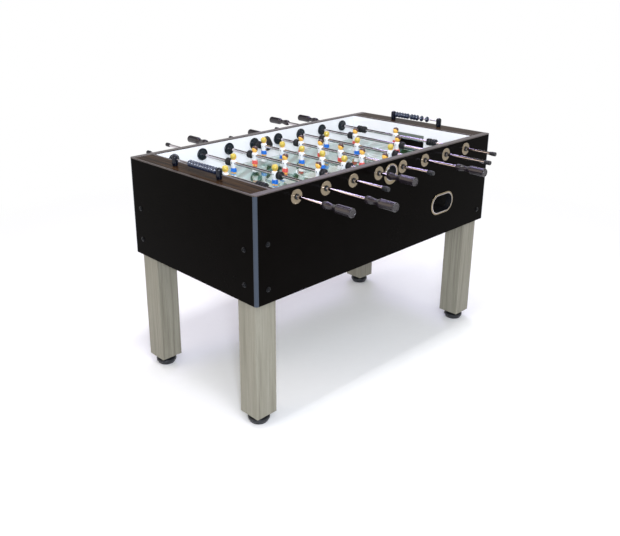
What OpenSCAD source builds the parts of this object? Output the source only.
/* [Cabinet] */
// Length of the cabinet over its corner strips
body_l = 1420; // [1380:1:1460]
// Width of the cabinet over its long side panels
body_w = 760; // [740:1:780]
// Height of the table top above the floor
table_h = 920; // [900:1:940]
// Height of the cabinet walls with their top trim
apron_h = 404; // [390:1:420]
// Thickness of the two long side panels
side_t = 25; // [22:0.5:28]
// Thickness of the two end panels
end_t = 18; // [16:0.5:22]
// Thickness of the white boards that line the long sides
lining_t = 5; // [4:0.5:8]
// Thickness of the white wall behind each goal line
goal_wall_t = 15; // [13:0.5:18]
// Radius of the quarter round strips on the four corners
corner_r = 12; // [10:0.5:14]
// Width of the end tops, from the end face to the goal wall
end_top_w = 99; // [95:1:110]
// Thickness of the wood grain end tops
top_board_t = 18; // [15:0.5:20]
// Thickness of the metal trim round the top
trim_t = 4; // [3:0.5:6]
// Width of the trim strip on the outer edge of each end top
outer_strip_w = 8; // [6:0.5:9]
// Width of the trim strip on the inner edge of each end top
inner_strip_w = 10; // [8:0.5:12]

/* [Playfield and goals] */
// Depth of the rod axes below the table top
rod_drop = 41; // [39:0.5:44]
// Height of the rod axes above the playfield
field_drop = 80; // [78:0.5:88]
// Thickness of the playfield board
field_t = 12; // [9:0.5:16]
// Width and height of the rails that carry the playfield
rail_w = 25; // [20:1:28]
// Distance of the two middle cross rails from the centre
mid_rail_x = 200; // [150:5:260]
// Width of each goal mouth
goal_w = 180; // [160:2:200]
// Height of each goal mouth
goal_h = 56; // [48:1:62]
// Height of the header plate above each goal mouth
header_h = 22; // [14:1:26]
// Thickness of the header plate
header_t = 2; // [1.5:0.5:3]

/* [Ball serve and ball return] */
// Outer diameter of the serving ring
serve_d = 84; // [78:1:86]
// Diameter of the serving hole
serve_hole_d = 60; // [50:1:62]
// Depth of the centre of the serving ring below the table top
serve_drop = 57; // [53:1:60]
// How far the serving hole sits above the centre of its ring
serve_rise = 5; // [3:0.5:6]
// Wall of the serving tube
serve_wall = 3; // [2:0.5:4]
// How far the serving tube stands into the pitch
serve_lip = 12; // [6:1:16]
// Thickness of the serving ring
serve_t = 4; // [3:0.5:6]
// Distance of the ball return from the middle of the table
return_x = 366; // [340:1:400]
// Depth of the centre of the ball return below the table top
return_drop = 256; // [250:1:262]
// Width of the ball return mouth
return_w = 140; // [120:1:150]
// Height of the ball return mouth
return_h = 76; // [66:1:84]
// Width of the rim round the ball return mouth
return_rim = 9; // [6:0.5:12]
// Thickness of the rim round the ball return mouth
return_t = 4; // [3:0.5:6]
// Depth of the tray behind the ball return mouth
tray_d = 80; // [60:1:90]
// Inner width of the ball chute
chute_w = 50; // [44:1:56]
// Height of the ball chute's side boards
chute_h = 40; // [36:1:44]
// Fall of the ball chute along its length, as a slope
chute_slope_share = 0.12; // [0.08:0.01:0.14]
// Thickness of the boards of the tray, chute and goal boxes
board_t = 6; // [5:0.5:8]

/* [Legs and feet] */
// Width of each square leg
leg_w = 97; // [90:1:104]
// Height of the underside of the legs above the floor
foot_h = 40; // [36:1:46]
// Radius of each foot
foot_r = 43; // [38:0.5:46]
// Radius of the threaded stud of each foot
stud_r = 6; // [5:0.5:8]
// Length of the foot's stud inside the leg
stud_l = 60; // [50:1:80]
// Radius of the leg bolts' shanks
bolt_r = 4; // [3:0.5:5]
// Radius of the leg bolts' heads
bolt_head_r = 7; // [6:0.5:9]
// Radius of the washers under the bolt heads
washer_r = 10; // [9.5:0.5:12]
// Length of the leg bolts from under the head
bolt_l = 70; // [60:1:80]

/* [Rods and bearings] */
// Distance of the first and last rods from the goal walls
end_rod_gap = 93; // [88:0.5:93]
// Radius of the rods
rod_r = 6.5; // [6:0.25:7.5]
// Wall of the rod tube
rod_wall = 1.6; // [1.2:0.1:2.5]
// Radial running clearance between a rod and what it turns or slides in
run_gap = 0.08; // [0.05:0.01:0.1]
// Radius of the bearing bush's barrel
bush_r = 9; // [8.5:0.25:10]
// Radius of the round plate on the outside of each bearing
plate_r = 27; // [25:0.5:30]
// Thickness of the outer plate
plate_t = 2; // [1.5:0.5:3]
// Radius of the black ring nut on the outer plate
nut_r = 11; // [10.5:0.25:13]
// Height of the ring nut
nut_h = 4; // [3:0.5:6]
// Radius of the bearing's inner flange
flange_r = 26; // [22:0.5:28]
// Thickness of the bearing's inner flange
flange_t = 5; // [4:0.5:7]
// Number of ribs on the inner flange
flange_ribs = 8; // [6:1:10]
// Radius of the rubber bumpers
bumper_r = 16.5; // [14:0.5:18]
// Length of the rubber bumpers
bumper_l = 23; // [20:0.5:26]
// Gap between a bumper and the figure beside it
bumper_gap = 3; // [2:0.5:4]
// Distance from one bumper of a keeper's rod to the next on the same side
keeper_step = 28; // [26.5:0.5:32]
// How far the keeper's rod slides each way
keeper_travel = 109.5; // [105:0.5:115]
// How much farther the handle and cap of a keeper's rod stand out
keeper_reach = 5; // [0:1:12]
// How far a rod of two figures slides each way
pair_travel = 179; // [170:0.5:190]
// How far a rod of three figures slides each way
three_travel = 116.5; // [110:0.5:125]
// How far a rod of five figures slides each way
five_travel = 62; // [58:0.5:70]
// Length of the handles
handle_l = 131; // [120:1:140]
// Radius of the handle's barrel
handle_r = 16.5; // [14:0.5:18]
// Radius of the handle's waist
waist_r = 10; // [9.25:0.25:11]
// Number of flutes along a handle
flutes = 8; // [6:1:10]
// Gap left between a handle and its bearing when the rod is pushed in
hand_gap = 17; // [8:1:24]
// Length of the rubber end caps
cap_l = 27; // [24:1:32]
// Radius of the rubber end caps
cap_r = 9; // [8.5:0.25:11]
// Gap left between an end cap and its bearing when the rod is pulled out
cap_gap = 7; // [4:1:12]

/* [Figures] */
// Height of a figure above the rod axis
figure_up = 39; // [36:0.5:41]
// Reach of a figure below the rod axis
figure_down = 71; // [68:0.5:72]
// Width of a figure at the shoulders
figure_w = 29; // [27:0.5:31]
// Depth of a figure's chest
figure_d = 20; // [18:0.5:22]

/* [Score counters] */
// Distance between the two posts of a counter
post_space = 268; // [250:1:300]
// Height of the posts
post_h = 42; // [38:1:46]
// Radius of the posts
post_r = 12; // [10:0.5:13]
// Radius of the counter's rod
score_rod_r = 2.5; // [2:0.25:3]
// Radius of the beads
bead_r = 13.5; // [11:0.5:15]
// Length of a bead along its rod
bead_l = 16.4; // [14:0.1:17]
// Height of the counter's rod above the end top
score_rise = 27; // [25:0.5:30]

/* [Hidden] */
$fn = 64;
// Extra length of every cut, so that it runs past the faces
overrun = 1;
// Gap between loose boards, beads and other pieces that only rest on each other
seat_gap = 0.2;
// Gap at an end stop of a sliding piece
stop_gap = 0.5;

// Levels and planes of the cabinet
x_out = body_l / 2;
y_out = body_w / 2;
x_end_in = x_out - end_t;
x_in = x_out - end_top_w;
x_goal_back = x_in + goal_wall_t;
y_side_in = y_out - side_t;
y_in = y_side_in - lining_t;
trim_w = y_out - y_in;
z_bot = table_h - apron_h;
z_panel = table_h - trim_t;
z_rod = table_h - rod_drop;
z_field = z_rod - field_drop;
z_rail = z_field - field_t;
z_leg_top = z_rail - rail_w;
z_serve = table_h - serve_drop;
z_return = table_h - return_drop;
// Tongue of the corner strips and its groove
tongue_t = corner_r / 4;
tongue_l = corner_r / 2;
trim_round = trim_t / 2;
// Sleeve of the ball return rim
sleeve_t = return_t / 2;
// Places of the leg bolts, from the outer faces of the leg and the bottom of the cabinet
bolt_in_x = 38;
bolt_in_y = 35;
end_bolt_up = [69, 200];
side_bolt_up = [53.5, 221];
bolt_head_h = 4;
washer_t = 1.5;
leg_edge = 1.5;
// Rods in order along the table: figures on each, and the side of its handle
rod_counts = [1, 2, 3, 5, 5, 3, 2, 1];
handle_sides = [-1, -1, 1, -1, 1, -1, 1, 1];
// Where each rod stands in its travel, and which way its figures face
rod_rest_shares = [0.082, 0.08, -0.1, 0.66, -0.76, -0.105, 0.025, 0.055];
facings = [1, 1, -1, 1, -1, 1, -1, -1];
handle_bore_share = 0.85;
cap_bore_share = 0.8;
// Radius of the knob at the start of a handle, as a share of the barrel's
knob_share = 0.84;
// Gaps between the groups of beads on the right counter, as shares of the free length
bead_gap_shares = [0.09, 0.12, 0.19];
rod_count = len(rod_counts);
rod_pitch = 2 * (x_in - end_rod_gap) / (rod_count - 1);
bead_step = bead_l + seat_gap;
score_span = post_space - 2 * post_r;
bead_free = score_span - 10 * bead_step - seat_gap;
x_score = x_out - end_top_w / 2;
z_score = table_h + score_rise;

function rod_x(i) = (i - (rod_count + 1) / 2) * rod_pitch;
function travel(n) = n == 1 ? keeper_travel : n == 2 ? pair_travel : n == 3 ? three_travel : five_travel;
function bumper_in(n) = y_in - flange_t - stop_gap - travel(n) - bumper_l;
function last_figure(n) = n == 1 ? 0 : bumper_in(n) - bumper_gap - figure_w / 2;
function spacing(n) = n == 1 ? 0 : 2 * last_figure(n) / (n - 1);
function reach(n) = y_out + plate_t + nut_h + travel(n) + (n == 1 ? keeper_reach : 0);
function handle_y(n) = reach(n) + hand_gap;
function cap_y(n) = reach(n) + cap_gap;
function blend(a, b, t) = a + (b - a) * (1 - cos(180 * t)) / 2;

echo(travels = [for (n = [1, 2, 3, 5]) travel(n)],
     rests = [for (i = [0:7]) rod_rest_shares[i] * travel(rod_counts[i])],
     z_rod = z_rod, z_field = z_field, bead_free = bead_free);

// A rectangle round the origin with rounded corners
module round_plate(w, h, r) {
    square([w, h - 2 * r], center = true);
    square([w - 2 * r, h], center = true);
    for (x = [-1, 1], y = [-1, 1])
        translate([x * (w / 2 - r), y * (h / 2 - r)]) circle(r);
}

// A cylinder along Y from y, at x and z
module y_rod(x, y, z, r, l) {
    translate([x, y, z]) rotate([-90, 0, 0]) cylinder(r = r, h = l);
}

// The same piece on the far side, turned half round about the table's centre
module both_sides() {
    children();
    rotate([0, 0, 180]) children();
}

// The same piece mirrored to the other end
module both_ends() {
    children();
    mirror([1, 0, 0]) children();
}

module four_corners() {
    both_ends() {
        children();
        mirror([0, 1, 0]) children();
    }
}

// One long side panel, on the front side: holes for bearings, ball serve, ball return and bolts
module side_panel() {
    difference() {
        translate([corner_r - x_out, -y_out, z_bot])
            cube([body_l - 2 * corner_r, side_t, z_panel - z_bot]);
        both_ends() {
            translate([x_end_in, corner_r - y_out, z_bot - overrun])
                cube([end_t, side_t, apron_h + 2 * overrun]);
            translate([x_out - corner_r - tongue_l, -y_out + (corner_r - tongue_t) / 2, z_bot - overrun])
                cube([tongue_l + overrun, tongue_t, apron_h + 2 * overrun]);
            for (up = side_bolt_up)
                y_rod(x_end_in - bolt_in_x, -y_out - overrun, z_bot + up, bolt_r, side_t + 2 * overrun);
        }
        for (i = [1:rod_count])
            y_rod(rod_x(i), -y_out - overrun, z_rod, bush_r + seat_gap, side_t + 2 * overrun);
        y_rod(0, -y_out - overrun, z_serve + serve_rise, serve_hole_d / 2 + serve_wall + seat_gap,
              side_t + 2 * overrun);
        translate([return_x, -y_out - overrun, z_return]) rotate([-90, 0, 0])
            linear_extrude(side_t + 2 * overrun)
                round_plate(return_w + 2 * sleeve_t, return_h + 2 * sleeve_t, return_h / 2 + sleeve_t);
    }
}

module side_panel_front() {
    color("#14110f") side_panel();
}

module side_panel_back() {
    color("#14110f") rotate([0, 0, 180]) side_panel();
}

// One end panel, on the right: a step on its top edge carries the end top
module end_panel() {
    difference() {
        translate([x_end_in, corner_r - y_out, z_bot])
            cube([end_t, body_w - 2 * corner_r, z_panel - z_bot]);
        translate([x_end_in - overrun, -y_out, table_h - top_board_t])
            cube([end_t - outer_strip_w + overrun, body_w, apron_h]);
        for (y = [-1, 1], up = end_bolt_up)
            translate([x_end_in - overrun, y * (y_side_in - bolt_in_y), z_bot + up])
                rotate([0, 90, 0]) cylinder(r = bolt_r, h = end_t + 2 * overrun);
    }
}

module end_panel_right() {
    color("#100d0b") end_panel();
}

module end_panel_left() {
    color("#100d0b") mirror([1, 0, 0]) end_panel();
}

// Two side linings and two goal walls, all white
module inner_walls() {
    color("#f4f6f8") {
        both_sides() difference() {
            translate([-x_in, -y_side_in, z_field])
                cube([2 * x_in, lining_t, z_panel - z_field]);
            for (i = [1:rod_count])
                y_rod(rod_x(i), -y_side_in - overrun, z_rod, bush_r + seat_gap, lining_t + 2 * overrun);
            y_rod(0, -y_side_in - overrun, z_serve + serve_rise, serve_hole_d / 2 + serve_wall + seat_gap,
                  lining_t + 2 * overrun);
        }
        both_sides() difference() {
            translate([x_in + seat_gap, -y_side_in, z_field])
                cube([goal_wall_t - seat_gap, 2 * y_side_in, z_panel - z_field]);
            translate([x_in + inner_strip_w, -y_out, table_h - top_board_t])
                cube([goal_wall_t, body_w, apron_h]);
            translate([x_in - overrun, -goal_w / 2, z_field - overrun])
                cube([goal_wall_t + 2 * overrun, goal_w, goal_h + overrun]);
        }
    }
}

// Wood grain tops at the two ends
module top_boards() {
    color("#2c2420") both_ends()
        translate([x_in + inner_strip_w, -y_in, table_h - top_board_t])
            cube([end_top_w - inner_strip_w - outer_strip_w, 2 * y_in, top_board_t]);
}

// Trim over a long side, rounded along its outer top edge and at its two ends
module side_trim() {
    intersection() {
        translate([0, 0, z_panel]) linear_extrude(trim_t) intersection() {
            round_plate(body_l, body_w, corner_r);
            translate([-x_out, -y_out]) square([body_l, trim_w]);
        }
        translate([-x_out, 0, 0]) rotate([90, 0, 90]) linear_extrude(body_l) {
            translate([-y_out, z_panel]) square([trim_w, trim_t - trim_round]);
            translate([-y_out + trim_round, z_panel]) square([trim_w - trim_round, trim_t]);
            translate([-y_out + trim_round, table_h - trim_round]) circle(trim_round);
        }
    }
}

// Trim on the outer and inner edges of an end top
module end_trims() {
    translate([x_out - outer_strip_w, -y_in + seat_gap, z_panel])
        cube([outer_strip_w - trim_round, 2 * (y_in - seat_gap), trim_t]);
    translate([x_out - outer_strip_w, -y_in + seat_gap, z_panel])
        cube([outer_strip_w, 2 * (y_in - seat_gap), trim_t - trim_round]);
    y_rod(x_out - trim_round, -y_in + seat_gap, table_h - trim_round, trim_round, 2 * (y_in - seat_gap));
    translate([x_in, -y_in + seat_gap, z_panel])
        cube([inner_strip_w, 2 * (y_in - seat_gap), trim_t]);
}

module edge_trims() {
    color("#6e6562") {
        both_sides() side_trim();
        both_ends() end_trims();
    }
}

// Quarter round strips with a tongue in the end of each side panel
module corner_strips() {
    color("#5f6b80") four_corners() translate([x_out - corner_r, corner_r - y_out, z_bot])
        linear_extrude(z_panel - z_bot) {
            intersection() {
                circle(corner_r);
                translate([0, -corner_r]) square(corner_r);
            }
            translate([-tongue_l, -(corner_r + tongue_t) / 2]) square([corner_r, tongue_t]);
        }
}

module playfield() {
    color("#a9bdb6") translate([-x_goal_back, -y_side_in, z_rail])
        cube([2 * x_goal_back, 2 * y_side_in, field_t]);
}

// Rails under the playfield: one along each side and four across
module cross_rails() {
    rail_l = 2 * (y_side_in - rail_w - seat_gap);
    color("#b9975b") {
        for (y = [-y_side_in, y_side_in - rail_w])
            translate([-x_goal_back, y, z_leg_top]) cube([2 * x_goal_back, rail_w, rail_w]);
        both_ends() for (x = [mid_rail_x, x_goal_back - rail_w])
            translate([x, -rail_l / 2, z_leg_top]) cube([rail_w, rail_l, rail_w]);
    }
}

// Levels of the ball's way from the goal to the tray, on the right hand side
z_tray = z_return - return_h / 2;
y_tray_back = -y_side_in + tray_d;
z_run_low = z_tray + return_h / 4;
z_run_turn = z_run_low - chute_slope_share * y_tray_back;
z_run_top = z_run_turn + chute_slope_share * (x_end_in - return_x);
// Heights of the hopper floor in the goal box
z_hopper_low = z_run_top + chute_h + board_t;
z_hopper_top = z_field - board_t;

// A board whose top and bottom edges slope, t thick along Y, from x0 and z0 to x1 and z1
module sloped_board(x0, x1, z0, z1, h, t) {
    rotate([90, 0, 0]) translate([0, 0, -t]) linear_extrude(t)
        polygon([[x0, z0], [x1, z1], [x1, z1 + h], [x0, z0 + h]]);
}

// The box behind a goal mouth: back, sides, lid, a hopper floor and the header plate
module goal_box() {
    depth = x_end_in - x_goal_back;
    inner = goal_w / 2 + seat_gap;
    lid_z = z_field + goal_h;
    translate([x_end_in - board_t, -inner - board_t, z_hopper_low - board_t])
        cube([board_t, 2 * (inner + board_t), lid_z - z_hopper_low + 2 * board_t]);
    for (y = [-inner - board_t, inner])
        translate([x_goal_back, y, z_hopper_low])
            cube([depth - board_t - seat_gap, board_t, lid_z - z_hopper_low - seat_gap]);
    translate([x_goal_back, -inner - board_t, lid_z])
        cube([depth - board_t - seat_gap, 2 * (inner + board_t), board_t]);
    for (side = [0, 1]) mirror([0, side, 0])
        translate([x_goal_back, 0, 0]) rotate([90, 0, 90])
            linear_extrude(depth - board_t - seat_gap)
                polygon([[chute_w / 2, z_hopper_low - board_t], [inner - seat_gap, z_hopper_top - board_t],
                         [inner - seat_gap, z_hopper_top], [chute_w / 2, z_hopper_low]]);
    translate([x_in - header_t, -goal_w / 2, lid_z]) cube([header_t, goal_w, header_h]);
}

module goal_boxes() {
    color("#56625c") both_sides() goal_box();
}

// Tray and two sloping runs of the chute that bring the ball back to the front
module ball_return() {
    half = chute_w / 2;
    tray_half = return_w / 2 + sleeve_t;
    tray_top = z_return + return_h / 2;
    run_y = half + board_t;
    // Tray: floor, two ends, and a back with the chute's notch above it
    translate([return_x - tray_half - board_t, -y_side_in, z_tray - board_t])
        cube([2 * (tray_half + board_t), tray_d - seat_gap, board_t - seat_gap]);
    for (x = [-tray_half - board_t, tray_half])
        translate([return_x + x, -y_side_in, z_tray])
            cube([board_t, tray_d - seat_gap, tray_top - z_tray]);
    translate([return_x - tray_half - board_t, y_tray_back, z_tray - board_t])
        cube([2 * (tray_half + board_t), board_t, z_run_low - z_tray - seat_gap]);
    for (x = [-tray_half - board_t, half + board_t + seat_gap])
        translate([return_x + x, y_tray_back, z_run_low - board_t])
            cube([tray_half - half - seat_gap, board_t, tray_top - z_run_low + board_t]);
    // Run across the table, towards the tray
    translate([return_x - half, 0, 0]) rotate([0, 0, 90]) mirror([0, 1, 0])
        sloped_board(y_tray_back, half, z_run_low - board_t,
                     z_run_turn + chute_slope_share * half - board_t, board_t - seat_gap, chute_w);
    for (x = [-half - board_t, half])
        translate([return_x + x, 0, 0]) rotate([0, 0, 90]) mirror([0, 1, 0])
            sloped_board(y_tray_back, x < 0 ? run_y : -run_y - seat_gap, z_run_low - board_t,
                         z_run_turn + chute_slope_share * (x < 0 ? run_y : -run_y) - board_t,
                         chute_h, board_t);
    // Run along the table, from under the goal box
    x_turn = return_x + half + seat_gap;
    z_turn = z_run_turn + chute_slope_share * half;
    translate([0, -half, 0])
        sloped_board(x_turn, x_end_in - board_t - seat_gap, z_turn - board_t,
                     z_turn + chute_slope_share * (x_end_in - x_turn) - board_t,
                     board_t - seat_gap, chute_w);
    for (y = [-run_y, half])
        translate([0, y, 0])
            sloped_board(y < 0 ? return_x + run_y + seat_gap : return_x - half,
                         x_end_in - board_t - seat_gap, z_turn - board_t,
                         z_turn + chute_slope_share * (x_end_in - x_turn) - board_t, chute_h, board_t);
    translate([x_end_in - board_t, -run_y, z_run_top - board_t])
        cube([board_t, 2 * run_y, chute_h]);
}

module ball_return_boards() {
    color("#a58a5c") both_sides() ball_return();
}

// Rim and sleeve of the ball return mouth
module return_bezels() {
    color("#9a8c73") both_sides() translate([return_x, -y_out, z_return]) rotate([-90, 0, 0])
        difference() {
            union() {
                translate([0, 0, -return_t]) linear_extrude(return_t)
                    round_plate(return_w + 2 * return_rim, return_h + 2 * return_rim,
                                return_h / 2 + return_rim);
                linear_extrude(side_t)
                    round_plate(return_w + 2 * sleeve_t, return_h + 2 * sleeve_t,
                                return_h / 2 + sleeve_t);
            }
            translate([0, 0, -return_t - overrun])
                linear_extrude(side_t + return_t + 2 * overrun)
                    round_plate(return_w, return_h, return_h / 2);
        }
}

// Ring, tube and spout through which the ball is put into play
module serving_cups() {
    tube_r = serve_hole_d / 2 + serve_wall;
    tube_l = side_t + lining_t + serve_lip;
    color("#9a8c73") both_sides() difference() {
        union() {
            y_rod(0, -y_out - serve_t, z_serve, serve_d / 2, serve_t);
            y_rod(0, -y_out, z_serve + serve_rise, tube_r, tube_l);
        }
        y_rod(0, -y_out - serve_t - overrun, z_serve + serve_rise, serve_hole_d / 2,
              serve_t + tube_l + 2 * overrun);
        translate([-serve_d, -y_in, z_serve + serve_rise])
            cube([2 * serve_d, serve_lip + overrun, serve_d]);
    }
}

// Round plates on the outer faces
module bearing_plates() {
    edge = plate_t / 4;
    color("#a39678") for (i = [1:rod_count]) both_sides()
        translate([rod_x(i), -y_out, z_rod]) rotate([90, 0, 0]) rotate_extrude()
            polygon([[bush_r, 0], [plate_r, 0], [plate_r, plate_t - edge],
                     [plate_r - edge, plate_t], [bush_r, plate_t]]);
}

// A bush with its barrel and ribbed inner flange, and the ring nut that holds it
module bearing() {
    barrel_l = side_t + lining_t + plate_t + nut_h;
    hub_r = (bush_r + flange_r) / 2;
    rib_w = flange_t / 3;
    skin = flange_t / 2;
    difference() {
        union() {
            cylinder(r = bush_r, h = barrel_l);
            translate([0, 0, -skin]) cylinder(r = flange_r, h = skin);
            translate([0, 0, -flange_t]) cylinder(r = hub_r, h = flange_t);
            for (i = [1:flange_ribs]) rotate(i * 360 / flange_ribs)
                translate([bush_r, -rib_w / 2, -flange_t])
                    cube([flange_r - bush_r - rib_w, rib_w, flange_t]);
            difference() {
                translate([0, 0, -flange_t]) cylinder(r = flange_r, h = flange_t);
                translate([0, 0, -flange_t - overrun])
                    cylinder(r = flange_r - rib_w, h = flange_t + 2 * overrun);
            }
        }
        translate([0, 0, -flange_t - overrun])
            cylinder(r = rod_r + run_gap, h = barrel_l + flange_t + 2 * overrun);
    }
    translate([0, 0, barrel_l - nut_h]) difference() {
        cylinder(r = nut_r, h = nut_h - seat_gap);
        translate([0, 0, -overrun]) cylinder(r = bush_r + seat_gap, h = nut_h + 2 * overrun);
    }
}

module bearing_bushes() {
    color("#15161a") for (i = [1:rod_count]) both_sides()
        translate([rod_x(i), -y_in, z_rod]) rotate([90, 0, 0]) bearing();
}

// Square legs inside the corners, with bores for the bolts and the foot's stud
module legs() {
    leg_l = z_leg_top - foot_h;
    color("#96978a") four_corners()
        translate([x_end_in - leg_w, -y_side_in, foot_h]) difference() {
            linear_extrude(leg_l) difference() {
                square(leg_w);
                for (x = [0, leg_w], y = [0, leg_w]) translate([x, y])
                    rotate(45) square(leg_edge * sqrt(2), center = true);
            }
            translate([leg_w / 2, leg_w / 2, -overrun])
                cylinder(r = stud_r + run_gap, h = stud_l + 2 * overrun);
            for (up = side_bolt_up)
                y_rod(leg_w - bolt_in_x, -overrun, z_bot - foot_h + up, bolt_r,
                      bolt_l - side_t - washer_t + overrun);
            for (up = end_bolt_up)
                translate([leg_w + overrun, bolt_in_y, z_bot - foot_h + up])
                    rotate([0, -90, 0]) cylinder(r = bolt_r, h = bolt_l - end_t - washer_t + overrun);
        }
}

// A bolt and its washer, drawn down from the face that they clamp
module bolt() {
    round_h = bolt_head_h / 4;
    cylinder(r = bolt_head_r, h = bolt_head_h - round_h);
    cylinder(r = bolt_head_r - round_h, h = bolt_head_h);
    translate([0, 0, -bolt_l]) cylinder(r = bolt_r, h = bolt_l);
    translate([0, 0, -washer_t]) cylinder(r = washer_r, h = washer_t);
}

module leg_bolts() {
    color("#23262b") four_corners() {
        for (up = side_bolt_up)
            translate([x_end_in - bolt_in_x, -y_out - washer_t, z_bot + up])
                rotate([90, 0, 0]) bolt();
        for (up = end_bolt_up)
            translate([x_out + washer_t, bolt_in_y - y_side_in, z_bot + up])
                rotate([0, 90, 0]) bolt();
    }
}

// A levelling foot: wide moulded base, neck and threaded stud
module foot(x, y) {
    neck_r = foot_r / 3;
    color("#15171c")
        translate([x * (x_end_in - leg_w / 2), y * (y_side_in - leg_w / 2), 0]) {
            rotate_extrude() polygon(concat(
                [[0, 0], [foot_r * 0.82, 0], [foot_r * 0.88, foot_h * 0.08], [foot_r * 0.9, foot_h * 0.22],
                 [foot_r * 0.98, foot_h * 0.3]],
                [for (a = [-30:15:60]) [foot_r - foot_h * 0.12 * (1 - cos(a)),
                                        foot_h * 0.42 + foot_h * 0.12 * sin(a)]],
                [for (t = [0.15:0.17:1]) [blend(foot_r * 0.94, neck_r, t), foot_h * (0.54 + 0.28 * t)]],
                [[neck_r, foot_h - stop_gap], [0, foot_h - stop_gap]]));
            translate([0, 0, foot_h / 2]) cylinder(r = stud_r, h = stud_l + foot_h / 2 - stop_gap);
        }
}

module foot_front_left() foot(-1, -1);
module foot_front_right() foot(1, -1);
module foot_back_left() foot(-1, 1);
module foot_back_right() foot(1, 1);

// A counter's two posts with domed tops, and the thin rod between them
module score_frame() {
    bore_l = post_r;
    for (side = [-1, 1])
        translate([x_score, side * post_space / 2, table_h]) difference() {
            union() {
                cylinder(r = post_r * 0.85, h = post_h - post_r);
                translate([0, 0, post_h * 0.15]) cylinder(r = post_r, h = post_h * 0.85 - post_r / 2);
                translate([0, 0, post_h - post_r / 2]) intersection() {
                    translate([0, 0, -post_r * 0.75]) sphere(r = post_r * 1.25);
                    cylinder(r = post_r, h = post_r);
                }
            }
            y_rod(0, side > 0 ? -post_r - overrun : 0, score_rise, score_rod_r, post_r + overrun);
        }
    y_rod(x_score, -post_space / 2, z_score, score_rod_r, post_space);
}

module score_frames() {
    color("#1c2028") both_ends() score_frame();
}

// A rounded bead from the origin along +Y
module bead() {
    hub_r = bead_r * 0.5;
    rotate([-90, 0, 0]) rotate_extrude() polygon(concat(
        [[score_rod_r + run_gap, 0]],
        [for (a = [-90:15:90]) [hub_r + (bead_r - hub_r) * cos(a), bead_l * (1 + sin(a)) / 2]],
        [[score_rod_r + run_gap, bead_l]]));
}

// A row of beads from y along +Y on the counter at one end
module bead_row(end, y, count) {
    color("#20242c") for (i = [0:count - 1])
        translate([end * x_score, y + i * bead_step, z_score]) bead();
}

y_span = score_span / 2;
y_five = y_span - 5 * bead_step;
y_three = y_five - bead_gap_shares[0] * bead_free - 3 * bead_step;
y_ninth = y_three - bead_gap_shares[1] * bead_free - bead_step;
y_tenth = y_ninth - bead_gap_shares[2] * bead_free - bead_step;

module beads_left() bead_row(-1, seat_gap - y_span, 10);
module beads_right_five() bead_row(1, y_five, 5);
module beads_right_three() bead_row(1, y_three, 3);
module bead_right_ninth() bead_row(1, y_ninth, 1);
module bead_right_tenth() bead_row(1, y_tenth, 1);

// Puts what is drawn along +Y, handle side first, on rod i at its rest place
module on_rod(i) {
    side = handle_sides[i - 1];
    rest = rod_rest_shares[i - 1] * travel(rod_counts[i - 1]);
    translate([rod_x(i), rest, z_rod]) rotate([0, 0, side > 0 ? 0 : 180]) children();
}

// The steel tube, from inside its handle to inside its end cap
module rod(i) {
    n = rod_counts[i - 1];
    tail = cap_y(n) + cap_l * cap_bore_share - seat_gap;
    head = handle_y(n) + handle_l * handle_bore_share - seat_gap;
    color("#b9b6b4") on_rod(i) difference() {
        y_rod(0, -tail, 0, rod_r, tail + head);
        y_rod(0, -tail - overrun, 0, rod_r - rod_wall, tail + head + 2 * overrun);
    }
}

// Outline of a handle: radius against length, a round knob, a soft waist and a long barrel
function handle_outline() = concat(
    [for (a = [0:15:90]) [handle_l * 0.1 * (1 - cos(a)),
                          waist_r * 0.9 + (handle_r * knob_share - waist_r * 0.9) * sin(a)]],
    [for (t = [0.2:0.2:1]) [handle_l * (0.12 + 0.21 * t), blend(handle_r * knob_share, waist_r, t)]],
    [for (t = [0.2:0.2:1]) [handle_l * (0.36 + 0.16 * t), blend(waist_r, handle_r, t)]],
    [[handle_l * 0.95, handle_r], [handle_l * 0.985, handle_r * 0.95], [handle_l, handle_r * 0.84],
     [handle_l, 0], [0, 0]]);

// A fluted handle on one end of the rod and a rubber cap on the other
module handle(i) {
    n = rod_counts[i - 1];
    flute_r = handle_r * 0.2;
    cap_edge = cap_r / 4;
    color("#2c2e36") on_rod(i) {
        translate([0, handle_y(n), 0]) rotate([-90, 0, 0]) difference() {
            rotate_extrude() polygon([for (p = handle_outline()) [p[1], p[0]]]);
            translate([0, 0, -overrun])
                cylinder(r = rod_r, h = handle_l * handle_bore_share + overrun);
            for (k = [1:flutes]) rotate((k + 0.5) * 360 / flutes)
                translate([handle_r + flute_r * 0.6, 0, handle_l * 0.5])
                    cylinder(r = flute_r, h = handle_l * 0.44);
        }
        translate([0, -cap_y(n), 0]) rotate([90, 0, 0]) difference() {
            rotate_extrude() polygon([[0, 0], [cap_r * 0.88, 0], [cap_r * 0.88, cap_l * 0.3],
                [cap_r, cap_l * 0.36], [cap_r, cap_l - cap_edge], [cap_r - cap_edge, cap_l], [0, cap_l]]);
            translate([0, 0, -overrun]) cylinder(r = rod_r, h = cap_l * cap_bore_share + overrun);
        }
    }
}

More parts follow.
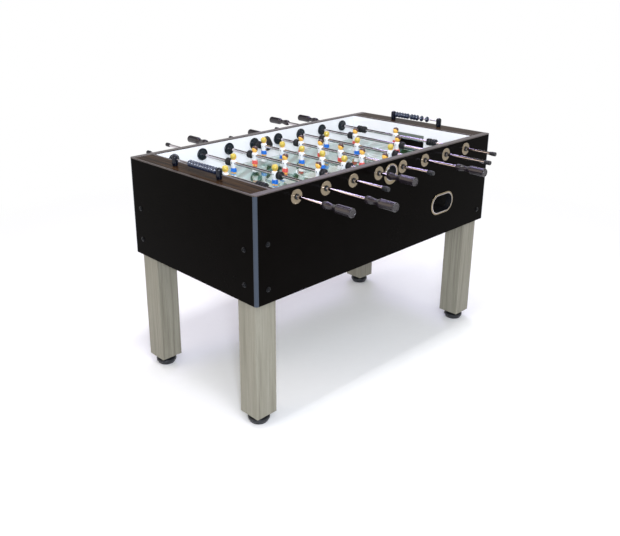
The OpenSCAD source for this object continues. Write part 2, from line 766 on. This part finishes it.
// Two lobed rubber bumpers that ride on the rod outside the figures
module bumper() {
    core_r = (bumper_r + rod_r) / 2;
    bore_r = rod_r + run_gap;
    rotate([-90, 0, 0]) rotate_extrude() difference() {
        union() {
            translate([0, bumper_l * 0.04]) square([core_r, bumper_l * 0.92]);
            for (t = [0.2, 0.72]) {
                translate([0, bumper_l * (t - 0.16)]) square([bumper_r * 0.78, bumper_l * 0.32]);
                translate([bumper_r - bumper_l * 0.16, bumper_l * t]) circle(bumper_l * 0.16);
            }
            translate([0, bumper_l * 0.88]) square([core_r * 0.9, bumper_l * 0.12]);
            square([core_r * 0.9, bumper_l * 0.06]);
        }
        translate([-bore_r, -overrun]) square([2 * bore_r, bumper_l + 2 * overrun]);
        translate([-2 * bumper_r, -overrun]) square([2 * bumper_r, bumper_l + 2 * overrun]);
    }
}

module bumpers(i) {
    n = rod_counts[i - 1];
    color("#17181c") on_rod(i) for (side = [0, 1]) mirror([0, side, 0])
        for (k = [0:n == 1 ? 1 : 0])
            translate([0, bumper_in(n) - k * keeper_step, 0]) bumper();
}

// Outline of a figure from the front: half widths as shares of its width, at shares of its height
body_width_shares = [[0.3, 0.19], [0.43, 0.16], [0.49, 0.08], [0.48, -0.06], [0.42, -0.29],
                     [0.44, -0.29], [0.45, -0.52], [0.36, -0.52], [0.32, -0.72], [0.35, -0.76], [0.35, -1]];
// Outline from the side: half depths as shares of its depth
body_depth_shares = [[0.3, 0.19], [0.44, 0.15], [0.49, 0.05], [0.46, -0.15], [0.42, -0.29],
                     [0.44, -0.29], [0.45, -0.52], [0.35, -0.52], [0.3, -0.72], [0.38, -0.8],
                     [0.47, -0.9], [0.52, -1]];

// Points of a symmetric outline, w wide, whose heights are shares of the reach below the rod
function outline(shares, w) = concat(
    [for (p = shares) [p[0] * w, p[1] * figure_down]],
    [for (k = [len(shares) - 1:-1:0]) [-shares[k][0] * w, shares[k][1] * figure_down]]);

// One figure round the rod's axis, facing +X: head with hair, shirt, shorts, legs and feet
module figure() {
    neck_z = figure_down * 0.13;
    head_r = figure_w * 0.43;
    head_h = figure_up - neck_z;
    hair = figure_w * 0.03;
    round_r = figure_d * 0.36;
    difference() {
        union() {
            intersection() {
                rotate([90, 0, 90]) translate([0, 0, -figure_d]) linear_extrude(2 * figure_d)
                    polygon(outline(body_width_shares, figure_w));
                rotate([90, 0, 0]) translate([0, 0, -figure_w]) linear_extrude(2 * figure_w)
                    polygon(outline(body_depth_shares, figure_d));
                translate([0, 0, -figure_down - overrun])
                    linear_extrude(figure_down + figure_up)
                        round_plate(figure_d * 1.2, figure_w, round_r);
            }
            translate([0, 0, neck_z]) rotate_extrude() polygon(concat([[0, 0], [head_r * 0.72, 0]],
                [for (a = [-60:15:0]) [head_r * (0.75 + 0.25 * cos(a)), head_r * (0.32 + 0.32 * sin(a))]],
                [for (a = [0:15:90]) [head_r * (0.3 + 0.7 * cos(a)) - hair,
                                      head_h - head_r * 0.7 + head_r * 0.7 * sin(a) - hair]],
                [[0, head_h - hair]]));
            difference() {
                translate([0, 0, neck_z]) rotate_extrude() polygon(concat(
                    [[0, head_h * 0.3], [head_r, head_h * 0.3]],
                    [for (a = [0:15:90]) [head_r * (0.3 + 0.7 * cos(a)),
                                          head_h - head_r * 0.7 + head_r * 0.7 * sin(a)]],
                    [[0, head_h]]));
                translate([head_r * 0.25, -figure_w, neck_z]) cube([figure_w, 2 * figure_w, head_h * 0.62]);
            }
        }
        y_rod(0, -figure_w, 0, rod_r, 2 * figure_w);
        translate([-figure_d, -figure_w * 0.03, -figure_down - overrun])
            cube([2 * figure_d, figure_w * 0.06, figure_down * 0.5]);
    }
}

module figures(i) {
    n = rod_counts[i - 1];
    rest = rod_rest_shares[i - 1] * travel(n);
    color(facings[i - 1] > 0 ? "#2f7fe0" : "#d9504a") for (k = [0:n - 1])
        translate([rod_x(i), rest + (k - (n - 1) / 2) * spacing(n), z_rod])
            rotate([0, 0, facings[i - 1] > 0 ? 0 : 180]) figure();
}

side_panel_front();
side_panel_back();
end_panel_left();
end_panel_right();
inner_walls();
top_boards();
edge_trims();
corner_strips();
playfield();
cross_rails();
goal_boxes();
ball_return_boards();
return_bezels();
serving_cups();
bearing_plates();
bearing_bushes();
legs();
leg_bolts();
foot_front_left();
foot_front_right();
foot_back_left();
foot_back_right();
score_frames();
beads_left();
beads_right_five();
beads_right_three();
bead_right_ninth();
bead_right_tenth();
for (i = [1:rod_count]) {
    rod(i);
    figures(i);
    handle(i);
    bumpers(i);
}
